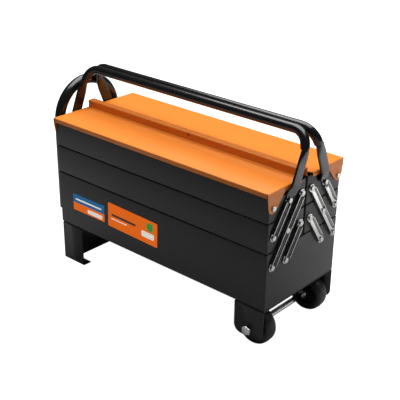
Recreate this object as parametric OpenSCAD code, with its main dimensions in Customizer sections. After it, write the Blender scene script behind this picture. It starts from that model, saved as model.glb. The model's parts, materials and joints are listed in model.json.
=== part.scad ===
// Five-tray cantilever tool box on two wheels and a foot stand.
// Millimetres, +Z up, the box's length along X, wheels at +X, front at -Y,
// origin on the ground under the middle of the bounding box.

/* [Box] */
// Length of the base and the trays
body_l = 500; // [480:1:520]
// Depth of the closed box, front to rear
body_w = 197; // [194:1:202]
// Height of the base bin
base_h = 105; // [100:1:110]
// Height of each middle tray
tray_h = 52.8; // [50:0.2:54]
// Height of each top tray, lower so that the lids' outer edges clear it as they swing
top_h = 51; // [49:0.2:51]
// Gap between a tray and the one under it
seam = 0.5; // [0.4:0.1:0.8]
// Gap between a front tray and a rear tray
centre_gap = 3; // [2:0.5:4]
// Thickness of the body's sheet steel
sheet = 1.5; // [1:0.1:2]
// Radius of the long bends along the bottom edges
bend_r = 5; // [3:0.5:8]
// Height of the folded hem round each rim
hem_h = 7; // [4:0.5:9]

/* [Lids] */
// Thickness of the lid sheet
lid_sheet = 1.1; // [0.8:0.1:1.2]
// How far a lid stands out past the box, front and rear
lid_over = 4.6; // [4:0.1:5]
// Depth of the lid's outer flange
flange_h = 8; // [6:0.5:10]
// Height of the rib along the front lid's inner edge
rib_h = 13.5; // [10:0.5:15]
// Width of that rib
rib_w = 15.3; // [12:0.1:18]
// Diameter of the padlock hole in the rib
lock_d = 4.6; // [4:0.1:6]
// Distance of the padlock hole from the middle of the box
lock_x = 8; // [-20:1:20]

/* [Links] */
// Distance between neighbouring pivots on one tray
pivot_y = 36.5; // [35:0.5:37]
// Height between one row of pivots and the next
pivot_z = 53.7; // [52.5:0.1:54]
// Height of the lowest pivots above the ground
pivot_z0 = 159; // [156:1:160]
// Distance of the outermost pivots from the centre plane
pivot_y0 = 86.3; // [85.5:0.1:87]
// Width of a link
link_w = 13.2; // [12.6:0.2:14]
// Depth of the flange along each side of a link
link_rim = 4.5; // [3.5:0.5:5]
// Thickness of a link's sheet
link_t = 1.2; // [1:0.1:1.4]
// Radius of a rivet's shank
rivet_r = 3; // [2.5:0.1:3.5]

/* [Handles] */
// Diameter of the two opening handles' bars
handle_d = 15.9; // [15:0.1:16]
// Height of their bars above the ground
bar_z = 369; // [360:1:372]
// Distance of a bar from the centre plane
bar_y = 8.6; // [8.4:0.1:10]
// Radius of their corners
corner_r = 28.5; // [24:0.5:32]
// Diameter of the pull handle
pull_d = 20; // [18:0.5:20]
// Radius of its arch
pull_r = 69.5; // [66:0.5:74]
// Height of the arch's centre above the ground
pull_z = 271; // [260:1:276]

/* [Running gear] */
// Height of the body above the ground
clearance = 80; // [74:1:84]
// Radius of the wheels
wheel_r = 34.5; // [32:0.5:36]
// Width of the tyres
tyre_w = 26; // [22:1:28]
// Distance of each wheel from the centre plane
wheel_y = 74; // [68:1:76]
// Distance of the axle from the middle of the box
axle_x = 218; // [210:1:222]
// Diameter of the axle
axle_d = 10; // [8:0.5:12]
// Thickness of the stand and the wheel bracket
plate_t = 2; // [1.5:0.1:3]
// Width of the foot stand along the box
stand_l = 54; // [44:1:60]
// Width of the wheel bracket along the box
bracket_l = 61; // [54:1:66]

/* [Hidden] */
$fn = 48;

black = [0.11, 0.12, 0.13];
orange = [0.90, 0.40, 0.13];
zinc = [0.78, 0.78, 0.77];

// Room around a joint's rivet, and around the pivots that close each linkage
run_gap = 0.08;
loose_gap = 0.25;
// Room around a fixed rivet in its sheet
fix_gap = 0.05;
// Room between an end wall and the lids' ends, and an end wall and the links
side_gap = 0.4;
link_gap = 1;
// A link's play between its rivet's shoulder and head
play = 0.1;
// How far a cutting shape runs past what it cuts
cut = 1;

// Sheet planes at each end of the box, counted outwards from the middle
end_x = body_l / 2;
flap_x = end_x + side_gap;
link_x = end_x + link_gap;
// Opening handles: room between a link's web and the flat leg, the leg's thickness, and how far
// the bend at the bar lies inside the leg
leg_gap = 2.5;
leg_t = 5;
bend_in = 2.6;
corner_x = link_x + link_t + leg_gap + leg_t / 2 - bend_in;
pull_gap = 0.8;
pull_x = corner_x + handle_d / 2 + pull_gap + pull_d / 2;
// The pull handle reaches further out than the opening handles: this centres the whole
shift_x = (pull_x + pull_d / 2 - corner_x - handle_d / 2) / 2;

// Heights
base_z = clearance;
mid_z = base_z + base_h + seam;
top_z = mid_z + tray_h + seam;
rim_z = top_z + top_h;
lid_gap = 2.2;
lid_low = rim_z + lid_gap;
lid_z = lid_low + lid_sheet;

// Rim of a tray: the wall with its hem folded down inside it
rim_t = 2.2 * sheet;

// Depths of the trays, and of the lids over them
tray_w = (body_w - centre_gap) / 2;
tray_y = (body_w + centre_gap) / 4;
lid_out = body_w / 2 + lid_over;
lid_in = 0.8;
lid_pivot = [88.7, top_z + 25.8];
flap_r = 9.3;
flap_slope = 50;
lock_rise = 0.7 * rib_h;
ramp_y = 15;
ramp_rise = 6;

// Links: lean of the closed linkage and distance between two pivots
lean = atan(pivot_y / pivot_z);
half_link = norm([pivot_y, pivot_z]);
mid_row = pivot_z0 + pivot_z;
top_row = pivot_z0 + 2 * pivot_z;
flange_end = 4.5;
head_r = 4.6;
head_h = 2.9;
collar_r = 5.4;
tail_r = 4.2;
tail_h = 1.6;
rivet_edge = 0.6;

// Opening handle: round tube pressed flat below the bend, flatter and wider still at its foot,
// and a tongue that lies in the link's channel. Heights run up the leg from the rivet.
strip_t = 1.6;
strip_w = link_w - 2 * link_t - 0.6;
tongue_down = 14;
tongue_up = 8;
leg_w = 22;
toe_w = 25.2;
toe_t = 3;
toe_gap = 0.6;
toe_low = 4.8;
toe_corner = [6.8, 9.5];
toe_high = 13;
press_low = 24;
press_high = 60;
taper_l = 24;
taper_wide = 9;
lid_room = 0.3;
top_drop = bar_z - pivot_z0 - 2 * pivot_z;
leg_out = pivot_y0 - pivot_y - bar_y;
leg_tilt = atan(leg_out / top_drop);
leg_l = norm([leg_out, top_drop]);
bend_low = leg_l - corner_r;
taper_low = bend_low - taper_l;

// Pull handle: straight feet below the arch, held off the end wall by saddles
foot_z = 96;
pull_wall = 1.6;
saddle_z = [112, 140];
saddle_w = 14;
saddle_h = 14;
plug_l = 10;
cap_h = 2.5;
bolt_r = 3;
bolt_hex = 5.5;
bolt_head = 4;
washer_t = 0.8;

// Running gear
axle_z = wheel_r;
hub_r = 24.5;
hub_gap = 0.05;
boss_t = 4.5;
rim_ring = 3;
hub_web = 3;
shoulder_r = 5;
wheel_gap = 0.3;
spacer_r = 8;
stop_r = 9;
stop_w = 5;
nut_h = 6.4;
nut_r = 9.24;

// Foot stand and wheel bracket
stand_in = 3;
stand_x = -end_x + stand_in;
web_z = 26;
foot_w = 19;
bracket_in = 1;
bracket_x = end_x - bracket_in - bracket_l;
bracket_z = 21;
bracket_r = 15;
rivet_in = 12;
rivet_y = body_w / 2 - 34;
small_r = 2.5;

module at_box() {
    translate([shift_x, 0, 0]) children();
}

module rear() {
    mirror([0, 1, 0]) children();
}

module left() {
    mirror([1, 0, 0]) children();
}

module both_ends() {
    children();
    left() children();
}

module both_sides() {
    children();
    rear() children();
}

// Lays a flat shape drawn in Y and Z against an end wall, x out from the middle
module on_end(x) {
    translate([x, 0, 0]) rotate([90, 0, 90]) children();
}

// A hole or rod along X
module along_x(y, z, r, x0, x1) {
    translate([x0, y, z]) rotate([0, 90, 0]) cylinder(h = x1 - x0, r = r);
}

// A solid of revolution about X, from a profile of [radius, distance] points
module turned_x(y, z, profile) {
    translate([0, y, z]) rotate([0, 90, 0]) rotate_extrude() polygon(profile);
}

// Pivots on one side, as [y, z], by tray
function base_pivots() = [[pivot_y0, pivot_z0], [pivot_y0 - pivot_y, pivot_z0]];
function mid_pivots() = [for (k = [0:2]) [pivot_y0 - k * pivot_y, mid_row]];
function handle_pivot() = [pivot_y0 - pivot_y, top_row];
function top_pivot() = [pivot_y0 - 2 * pivot_y, top_row];

// ---------------------------------------------------------------- trays

// Cross-section with rounded bottom bends
module trough(w, h, r) {
    translate([-w / 2, r]) square([w, h - r]);
    translate([-w / 2 + r, 0]) square([w - 2 * r, r]);
    for (s = [-1, 1]) translate([s * (w / 2 - r), r]) circle(r);
}

module open_tray(w, h) {
    difference() {
        on_end(-end_x) linear_extrude(body_l) trough(w, h, bend_r);
        translate([0, 0, sheet]) on_end(-end_x + sheet)
            linear_extrude(body_l - 2 * sheet) trough(w - 2 * sheet, h, bend_r - sheet);
    }
    hem(w, h);
}

// The rim is folded inwards on itself
module hem(w, h) {
    difference() {
        translate([-end_x + sheet / 2, -w / 2 + sheet / 2, h - hem_h])
            cube([body_l - sheet, w - sheet, hem_h]);
        translate([-end_x + rim_t, -w / 2 + rim_t, h - hem_h - cut])
            cube([body_l - 2 * rim_t, w - 2 * rim_t, hem_h + 2 * cut]);
    }
}

module pivot_holes(pivots) {
    for (p = pivots) along_x(-p[0], p[1], rivet_r + fix_gap, -end_x - cut, end_x + cut);
}

module base_tray() {
    color(black) at_box() difference() {
        translate([0, 0, base_z]) open_tray(body_w, base_h);
        both_sides() pivot_holes(base_pivots());
        both_sides() saddle_holes();
        stand_holes(base_z - cut, sheet);
        bracket_holes(base_z - cut, sheet);
    }
}

module mid_tray() {
    color(black) at_box() difference() {
        translate([0, -tray_y, mid_z]) open_tray(tray_w, tray_h);
        pivot_holes(mid_pivots());
    }
}

module top_tray() {
    color(black) at_box() difference() {
        translate([0, -tray_y, top_z]) open_tray(tray_w, top_h);
        pivot_holes([handle_pivot(), top_pivot(), lid_pivot]);
    }
}

module front_mid_tray() {
    mid_tray();
}

module rear_mid_tray() {
    rear() mid_tray();
}

module front_top_tray() {
    top_tray();
}

module rear_top_tray() {
    rear() top_tray();
}

// ---------------------------------------------------------------- rivets

// Tail inside the wall, shank, shoulder that spaces the sheet it holds, and head
module rivet(p, shoulder_x, shoulder_r, head_x) {
    in_x = end_x - sheet;
    top_x = head_x + head_h;
    turned_x(-p[0], p[1], [
        [0, in_x - tail_h], [tail_r - rivet_edge, in_x - tail_h], [tail_r, in_x - tail_h + rivet_edge],
        [tail_r, in_x], [rivet_r, in_x], [rivet_r, end_x],
        [shoulder_r, end_x], [shoulder_r, shoulder_x], [rivet_r, shoulder_x],
        [rivet_r, head_x], [head_r, head_x], [head_r, top_x - rivet_edge],
        [head_r - rivet_edge, top_x], [0, top_x]
    ]);
}

module link_rivet(p) {
    rivet(p, link_x - play, collar_r, link_x + link_t + play);
}

module base_rivets() {
    color(zinc) at_box() both_sides() both_ends() for (p = base_pivots()) link_rivet(p);
}

module mid_rivets() {
    color(zinc) at_box() both_ends() for (p = mid_pivots()) link_rivet(p);
}

module top_rivets() {
    color(zinc) at_box() both_ends() {
        link_rivet(top_pivot());
        rivet(handle_pivot(), link_x - play, collar_r, link_x + link_t + strip_t + play);
    }
}

module lid_rivets() {
    color(zinc) at_box() both_ends()
        rivet(lid_pivot, flap_x - play, collar_r, flap_x + lid_sheet + play);
}

module front_mid_rivets() {
    mid_rivets();
}

module rear_mid_rivets() {
    rear() mid_rivets();
}

module front_top_rivets() {
    top_rivets();
}

module rear_top_rivets() {
    rear() top_rivets();
}

module front_lid_rivets() {
    lid_rivets();
}

module rear_lid_rivets() {
    rear() lid_rivets();
}

// ---------------------------------------------------------------- lids

// Flat top of a lid, from its outer edge in to y_in
module lid_top(y_in) {
    l = 2 * (flap_x + lid_sheet);
    translate([-l / 2, -lid_out, lid_low]) cube([l, lid_out - y_in, lid_sheet]);
}

// Strip folded down along the outer edge, between the ends
module lid_flange() {
    translate([-flap_x, -lid_out, lid_z - flange_h]) cube([2 * flap_x, lid_sheet, flange_h - lid_sheet]);
}

// End plate folded down under the top, with the flap that turns on the lid's rivet
module lid_end(y_in) {
    c = lid_pivot;
    a = flap_slope;
    foot = [c[0] - flap_r * sin(a), c[1] - flap_r * cos(a)];
    flange_z = lid_z - flange_h;
    run = (flange_z - foot[1]) / tan(a);
    on_end(flap_x) linear_extrude(lid_sheet) difference() {
        union() {
            translate([-c[0], c[1]]) circle(flap_r);
            polygon([
                [-lid_out, lid_low], [-lid_out, flange_z], [-c[0] - flap_r, c[1]], [-c[0], c[1]],
                [-foot[0], foot[1]], [-foot[0] + run, flange_z], [-y_in, flange_z], [-y_in, lid_low]
            ]);
        }
        translate([-c[0], c[1]]) circle(rivet_r + run_gap);
    }
}

module front_lid() {
    color(orange) at_box() lid_top(lid_in + rib_w);
}

module front_lid_flange() {
    color(orange) at_box() lid_flange();
}

module front_lid_ends() {
    color(orange) at_box() both_ends() lid_end(lid_in + rib_w);
}

// Hollow rib along the inner edge, open at both ends, with the padlock hole in its front wall
module front_lid_rib() {
    y0 = -lid_in - rib_w;
    color(orange) at_box() difference() {
        translate([-end_x, y0, lid_low]) cube([body_l, rib_w, rib_h + lid_sheet]);
        translate([-end_x - cut, y0 + lid_sheet, lid_low - cut])
            cube([body_l + 2 * cut, rib_w - 2 * lid_sheet, rib_h + cut]);
        translate([lock_x, y0 - cut, lid_z + lock_rise]) rotate([-90, 0, 0])
            cylinder(h = lid_sheet + 2 * cut, d = lock_d);
    }
}

// Its inner edge slopes up to the rib
module rear_lid() {
    lap = 1;
    color(orange) at_box() rear() {
        lid_top(ramp_y);
        on_end(-end_x) linear_extrude(body_l) polygon([
            [-ramp_y - lap, lid_low], [-ramp_y + lap, lid_low], [-lid_in, lid_low + ramp_rise],
            [-lid_in, lid_z + ramp_rise], [-ramp_y, lid_z], [-ramp_y - lap, lid_z]
        ]);
    }
}

module rear_lid_flange() {
    color(orange) at_box() rear() lid_flange();
}

module rear_lid_ends() {
    color(orange) at_box() rear() both_ends() lid_end(ramp_y);
}

// ---------------------------------------------------------------- links

// Outline of a link's plate: v runs from the lower pivot to the upper one
module link_outline(l) {
    translate([-link_w / 2, 0]) square([link_w, l]);
    circle(link_w / 2);
    translate([0, l]) circle(link_w / 2);
}

// Flat link with a flange turned up along each side, from just above its lowest pivot to just
// below its highest; each hole is [distance up the link, room round the rivet]
module link(p, l, holes) {
    on_end(link_x) translate([-p[0], p[1]]) rotate([0, 0, -lean]) difference() {
        union() {
            linear_extrude(link_t) link_outline(l);
            for (v = [-link_w / 2, link_w / 2 - link_t]) translate([v, flange_end, 0])
                cube([link_t, l - 2 * flange_end, link_rim]);
        }
        for (h = holes) translate([0, h[0], -cut]) cylinder(h = link_t + 2 * cut, r = rivet_r + h[1]);
    }
}

module long_link() {
    color(zinc) link(base_pivots()[0], 2 * half_link,
        [[0, run_gap], [half_link, run_gap], [2 * half_link, run_gap]]);
}

module short_link() {
    color(zinc) link(base_pivots()[1], half_link, [[0, run_gap], [half_link, loose_gap]]);
}

module handle_link() {
    color(zinc) link(mid_pivots()[0], half_link, [[0, loose_gap], [half_link, run_gap]]);
}

module front_long_link_right() {
    at_box() long_link();
}

module front_long_link_left() {
    at_box() left() long_link();
}

module rear_long_link_right() {
    at_box() rear() long_link();
}

module rear_long_link_left() {
    at_box() rear() left() long_link();
}

module front_short_link_right() {
    at_box() short_link();
}

module front_short_link_left() {
    at_box() left() short_link();
}

module rear_short_link_right() {
    at_box() rear() short_link();
}

module rear_short_link_left() {
    at_box() rear() left() short_link();
}

module front_handle_link_right() {
    at_box() handle_link();
}

module front_handle_link_left() {
    at_box() left() handle_link();
}

module rear_handle_link_right() {
    at_box() rear() handle_link();
}

module rear_handle_link_left() {
    at_box() rear() left() handle_link();
}

// ---------------------------------------------------------------- opening handles

// Places a shape drawn about the bar's end of a leg, legs hanging down local -Z
module leg_frame() {
    translate([0, -bar_y, bar_z]) rotate([-leg_tilt, 0, 0]) children();
}

// Places a shape in the link's plane above its web: local +Y runs up from the rivet
module strip_frame(tilt) {
    on_end(link_x + link_t) translate([-handle_pivot()[0], handle_pivot()[1]])
        rotate([0, 0, -tilt]) children();
}

// Tongue that lies in the link's channel, past the rivet to its round end
module leg_tongue() {
    strip_frame(lean) linear_extrude(strip_t) difference() {
        union() {
            translate([-strip_w / 2, -tongue_down + strip_w / 2])
                square([strip_w, tongue_up + tongue_down - strip_w / 2]);
            translate([0, -tongue_down + strip_w / 2]) circle(strip_w / 2);
        }
        circle(rivet_r + run_gap);
    }
}

// Shape cut across the leg, from a profile of heights up the leg and distances off the web
module across_leg(profile) {
    translate([-toe_w, 0, 0]) rotate([90, 0, 90]) linear_extrude(2 * toe_w) polygon(profile);
}

// Pressed leg from its foot up into the taper
module pressed_leg() {
    half = leg_w / 2;
    foot = toe_w / 2;
    strip_frame(leg_tilt) intersection() {
        translate([0, 0, -cut]) linear_extrude(2 * leg_t) polygon([
            [-strip_w / 2, toe_low], [strip_w / 2, toe_low], [foot, toe_corner[1]],
            [foot, toe_high], [half, press_low], [half, press_high], [leg_t, bend_low - cut],
            [-leg_t, bend_low - cut], [-half, press_high], [-half, press_low], [-foot, toe_high],
            [-foot, toe_corner[0]]
        ]);
        across_leg([
            [toe_low, 0], [toe_corner[0], toe_gap], [toe_high, toe_gap], [press_low, leg_gap],
            [bend_low, leg_gap], [bend_low, leg_gap + leg_t], [press_low, leg_gap + leg_t],
            [toe_high, toe_gap + toe_t], [toe_low, strip_t]
        ]);
    }
}

// Tube below the bend, thinning to the pressed leg and kept off the lids' ends inside
module leg_taper() {
    axis_h = corner_x - link_x - link_t;
    strip_frame(leg_tilt) intersection() {
        translate([0, bend_low, axis_h]) rotate([90, 0, 0])
            cylinder(h = taper_l, r = handle_d / 2 - 0.1);
        across_leg([
            [taper_low, leg_gap], [bend_low + cut, -lid_room], [bend_low + cut, axis_h + taper_wide],
            [taper_low, leg_gap + leg_t]
        ]);
    }
}

// Bend between the bar and the leg
module leg_bend() {
    leg_frame() translate([corner_x - corner_r, 0, -corner_r]) rotate([90, 0, 0])
        rotate_extrude(angle = 90) translate([corner_r, 0]) circle(d = handle_d);
}

// Bar and its two bends, which run on into the two legs
module handle() {
    color(black) at_box() {
        both_ends() leg_bend();
        leg_frame() along_x(0, 0, handle_d / 2, -corner_x + corner_r, corner_x - corner_r);
    }
}

module handle_legs() {
    color(black) at_box() both_ends() {
        leg_tongue();
        pressed_leg();
        leg_taper();
    }
}

module front_handle() {
    handle();
}

module front_handle_legs() {
    handle_legs();
}

module rear_handle() {
    rear() handle();
}

module rear_handle_legs() {
    rear() handle_legs();
}

// ---------------------------------------------------------------- pull handle

module arch(r) {
    translate([-pull_x, 0, pull_z]) rotate([90, 0, 90])
        rotate_extrude(angle = 180) translate([pull_r, 0]) circle(r);
    for (s = [-1, 1]) translate([-pull_x, s * pull_r, foot_z]) cylinder(h = pull_z - foot_z, r = r);
}

module saddle_holes() {
    for (z = saddle_z) along_x(-pull_r, z, bolt_r + fix_gap, -end_x - cut, -end_x + sheet + cut);
}

module pull_handle() {
    color(black) at_box() difference() {
        arch(pull_d / 2);
        arch(pull_d / 2 - pull_wall);
        for (s = [-1, 1]) translate([-pull_x, s * pull_r, foot_z - cut])
            cylinder(h = 3 * cut, r = pull_d / 2 - pull_wall);
        both_sides() for (z = saddle_z)
            along_x(-pull_r, z, bolt_r + fix_gap, -pull_x, -pull_x + pull_d / 2 + cut);
    }
}

module pull_handle_plugs() {
    plug_r = pull_d / 2 - pull_wall - fix_gap;
    color(black) at_box() both_sides() translate([-pull_x, -pull_r, foot_z]) {
        cylinder(h = plug_l, r = plug_r);
        translate([0, 0, -cap_h]) cylinder(h = cap_h, r = pull_d / 2);
    }
}

// Blocks with a hollowed face that the tube lies in
module pull_handle_spacers() {
    reach = pull_x - end_x;
    color(black) at_box() both_sides() for (z = saddle_z) difference() {
        translate([-pull_x, -pull_r - saddle_w / 2, z - saddle_h / 2]) cube([reach, saddle_w, saddle_h]);
        translate([-pull_x, -pull_r, z - saddle_h]) cylinder(h = 2 * saddle_h, r = pull_d / 2 + fix_gap);
        along_x(-pull_r, z, bolt_r + fix_gap, -pull_x, -end_x + cut);
    }
}

// Screwed from inside the base into the tube's near wall
module pull_handle_bolts() {
    in_x = -end_x + sheet;
    past = 2;
    tip_x = -pull_x + pull_d / 2 - pull_wall - past;
    color(zinc) at_box() both_sides() for (z = saddle_z) {
        along_x(-pull_r, z, bolt_r, tip_x, in_x);
        along_x(-pull_r, z, 2 * bolt_r, in_x, in_x + washer_t);
        translate([in_x + washer_t, -pull_r, z]) rotate([0, 90, 0])
            cylinder(h = bolt_head, r = bolt_hex, $fn = 6);
    }
}

// ---------------------------------------------------------------- stand and bracket

// Upright rivet through a plate and the bottom of the base
module floor_rivet() {
    z0 = base_z - plate_t;
    z1 = base_z + sheet;
    rotate_extrude() polygon([
        [0, z0 - tail_h], [tail_r - rivet_edge, z0 - tail_h], [tail_r, z0 - tail_h + rivet_edge],
        [tail_r, z0], [small_r, z0], [small_r, z1],
        [tail_r, z1], [tail_r, z1 + tail_h - rivet_edge], [tail_r - rivet_edge, z1 + tail_h], [0, z1 + tail_h]
    ]);
}

module rivet_grid(x0, l) {
    for (x = [x0 + rivet_in, x0 + l - rivet_in], y = [-rivet_y, rivet_y]) translate([x, y, 0])
        children();
}

// Holes through a sheet t thick, from just under it
module stand_holes(z, t) {
    rivet_grid(stand_x, stand_l) translate([0, 0, z]) cylinder(h = t + 2 * cut, r = small_r + fix_gap);
}

module bracket_holes(z, t) {
    rivet_grid(bracket_x, bracket_l) translate([0, 0, z]) cylinder(h = t + 2 * cut, r = small_r + fix_gap);
}

module stand_rivets() {
    color(zinc) at_box() rivet_grid(stand_x, stand_l) floor_rivet();
}

module bracket_rivets() {
    color(zinc) at_box() rivet_grid(bracket_x, bracket_l) floor_rivet();
}

// One bent plate: top, two legs with feet turned in, and a web that ties the legs
module foot_stand() {
    w = body_w / 2;
    color(black) at_box() difference() {
        union() {
            translate([stand_x, -w, base_z - plate_t]) cube([stand_l, body_w, plate_t]);
            both_sides() {
                translate([stand_x, -w, 0]) cube([stand_l, plate_t, base_z]);
                translate([stand_x, -w, 0]) cube([stand_l, foot_w, plate_t]);
            }
            translate([stand_x + stand_l - plate_t, -w, web_z]) cube([plate_t, body_w, base_z - web_z]);
        }
        stand_holes(base_z - plate_t - cut, plate_t);
    }
}

module bracket_plate() {
    r = bracket_r;
    h = base_z - bracket_z;
    translate([bracket_x, 0]) {
        translate([0, bracket_z + r]) square([bracket_l, h - r]);
        translate([r, bracket_z]) square([bracket_l - 2 * r, r]);
        translate([r, bracket_z + r]) circle(r);
        translate([bracket_l - r, bracket_z + r]) circle(r);
    }
}

module wheel_bracket() {
    w = body_w / 2;
    color(black) at_box() difference() {
        union() {
            translate([bracket_x, -w, base_z - plate_t]) cube([bracket_l, body_w, plate_t]);
            both_sides() translate([0, -w + plate_t, 0]) rotate([90, 0, 0])
                linear_extrude(plate_t) bracket_plate();
        }
        translate([axle_x, -w - cut, axle_z]) rotate([-90, 0, 0])
            cylinder(h = body_w + 2 * cut, r = axle_d / 2 + fix_gap);
        bracket_holes(base_z - plate_t - cut, plate_t);
    }
}

// ---------------------------------------------------------------- axle and wheels

// A shape drawn about the axle's line, its height along +Y from y
module on_axle(y) {
    translate([axle_x, y, axle_z]) rotate([-90, 0, 0]) children();
}

module axle() {
    w = body_w / 2;
    color(zinc) at_box() {
        on_axle(-w) cylinder(h = body_w + nut_h, r = axle_d / 2);
        on_axle(-w - nut_h) cylinder(h = nut_h, r = nut_r, $fn = 6);
    }
}

module axle_nut() {
    color(zinc) at_box() on_axle(body_w / 2) difference() {
        cylinder(h = nut_h, r = nut_r, $fn = 6);
        translate([0, 0, -cut]) cylinder(h = nut_h + 2 * cut, r = axle_d / 2 + fix_gap);
    }
}

module ring(h, r_out, r_in) {
    difference() {
        cylinder(h = h, r = r_out);
        translate([0, 0, -cut]) cylinder(h = h + 2 * cut, r = r_in);
    }
}

module axle_spacers() {
    y0 = -body_w / 2 + plate_t + play;
    y1 = -wheel_y - tyre_w / 2 - wheel_gap;
    color(zinc) at_box() both_sides() on_axle(y0) ring(y1 - y0, spacer_r, axle_d / 2 + fix_gap);
}

module axle_collars() {
    y0 = -wheel_y + tyre_w / 2 + wheel_gap;
    color(zinc) at_box() both_sides() on_axle(y0) ring(stop_w, stop_r, axle_d / 2 + fix_gap);
}

// Half of the tyre's section, mirrored by its caller
module tyre_section() {
    h = tyre_w / 2;
    inner = hub_r + hub_gap;
    translate([inner, 0]) square([wheel_r - inner, h - shoulder_r]);
    translate([inner, 0]) square([wheel_r - shoulder_r - inner, h]);
    translate([wheel_r - shoulder_r, h - shoulder_r]) circle(shoulder_r);
}

module tyre() {
    color([0.07, 0.07, 0.08]) at_box() on_axle(-wheel_y) rotate_extrude($fn = 96) {
        tyre_section();
        mirror([0, 1]) tyre_section();
    }
}

// Rim, dished web and boss in one turning
module hub_section() {
    h = tyre_w / 2;
    bore = axle_d / 2 + run_gap;
    translate([bore, 0]) square([boss_t, h]);
    translate([bore, 0]) square([hub_r - bore, hub_web]);
    translate([hub_r - rim_ring, 0]) square([rim_ring, h - 1]);
}

module hub() {
    color(black) at_box() on_axle(-wheel_y) rotate_extrude($fn = 96) {
        hub_section();
        mirror([0, 1]) hub_section();
    }
}

module front_tyre() {
    tyre();
}

module front_hub() {
    hub();
}

module rear_tyre() {
    rear() tyre();
}

module rear_hub() {
    rear() hub();
}

base_tray();
foot_stand();
stand_rivets();
wheel_bracket();
bracket_rivets();
axle();
axle_nut();
axle_spacers();
axle_collars();
front_tyre();
front_hub();
rear_tyre();
rear_hub();
pull_handle();
pull_handle_plugs();
pull_handle_spacers();
pull_handle_bolts();
base_rivets();
front_mid_tray();
front_mid_rivets();
rear_mid_tray();
rear_mid_rivets();
front_top_tray();
front_top_rivets();
rear_top_tray();
rear_top_rivets();
front_lid();
front_lid_flange();
front_lid_ends();
front_lid_rib();
front_lid_rivets();
rear_lid();
rear_lid_flange();
rear_lid_ends();
rear_lid_rivets();
front_handle();
front_handle_legs();
rear_handle();
rear_handle_legs();
front_handle_link_left();
front_handle_link_right();
rear_handle_link_left();
rear_handle_link_right();
front_long_link_left();
front_long_link_right();
rear_long_link_left();
rear_long_link_right();
front_short_link_left();
front_short_link_right();
rear_short_link_left();
rear_short_link_right();
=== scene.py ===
import json
import math
import bmesh
import bpy
from mathutils import Matrix, Vector


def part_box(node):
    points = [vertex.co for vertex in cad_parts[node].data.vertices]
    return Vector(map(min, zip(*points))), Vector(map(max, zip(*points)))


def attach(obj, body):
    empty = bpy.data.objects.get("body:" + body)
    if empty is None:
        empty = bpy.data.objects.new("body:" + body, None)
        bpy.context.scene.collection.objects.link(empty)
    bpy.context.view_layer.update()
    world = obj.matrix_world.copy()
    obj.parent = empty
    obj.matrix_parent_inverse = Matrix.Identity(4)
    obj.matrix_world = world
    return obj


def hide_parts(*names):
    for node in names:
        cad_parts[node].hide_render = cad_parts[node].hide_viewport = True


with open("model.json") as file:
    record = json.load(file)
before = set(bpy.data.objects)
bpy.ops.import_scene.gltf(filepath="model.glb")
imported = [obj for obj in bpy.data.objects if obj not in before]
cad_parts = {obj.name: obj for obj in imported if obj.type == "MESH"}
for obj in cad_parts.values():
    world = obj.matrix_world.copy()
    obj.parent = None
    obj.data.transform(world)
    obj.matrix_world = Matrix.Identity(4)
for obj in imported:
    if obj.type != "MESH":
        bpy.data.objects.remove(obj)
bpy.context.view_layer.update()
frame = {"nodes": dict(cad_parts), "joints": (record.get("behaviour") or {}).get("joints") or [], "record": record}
mm = 0.001
tiny = 1e-6
cadNodes = frame["nodes"]
pivots = {joint["name"]: Vector(joint["pos_m"]) for joint in frame["joints"]}
baseLow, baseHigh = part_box("base_tray")
midX = (baseLow.x + baseHigh.x) / 2
xAxis = Vector((1, 0, 0))
print("frame loaded:", len(cadNodes), "nodes")


# camera, first of all

cameraView = {
    "azimuth": 41.4,      # degrees, turned from straight on towards the wheel end
    "elevation": 25.05,
    "roll": 0.58,
    "lens": 80.5,         # mm on a 36 mm wide sensor
    "place": (0.99965, -1.0967, 0.8597),
}


def addCamera(view):
    data = bpy.data.cameras.new("camera")
    data.lens = view["lens"]
    data.sensor_width = 36
    data.clip_end = 50
    camera = bpy.data.objects.new("camera", data)
    bpy.context.scene.collection.objects.link(camera)
    turn = Matrix.Rotation(math.radians(view["azimuth"]), 4, "Z")
    tilt = Matrix.Rotation(math.radians(90 - view["elevation"]), 4, "X")
    roll = Matrix.Rotation(math.radians(view["roll"]), 4, "Z")
    camera.matrix_world = Matrix.Translation(view["place"]) @ turn @ tilt @ roll
    bpy.context.scene.camera = camera


addCamera(cameraView)
print("camera placed")


# patterns shared by the finishes

def groupSocket(group, name, way, kind, default=None):
    socket = group.interface.new_socket(name=name, in_out=way, socket_type=kind)
    if default is not None:
        socket.default_value = default


def addNode(nodes, kind, values, operation=None):
    # a shader node with some of its inputs filled in, by name or number
    node = nodes.new(kind)
    if operation:
        node.operation = operation
    for name, value in values.items():
        node.inputs[name].default_value = value
    return node


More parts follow.
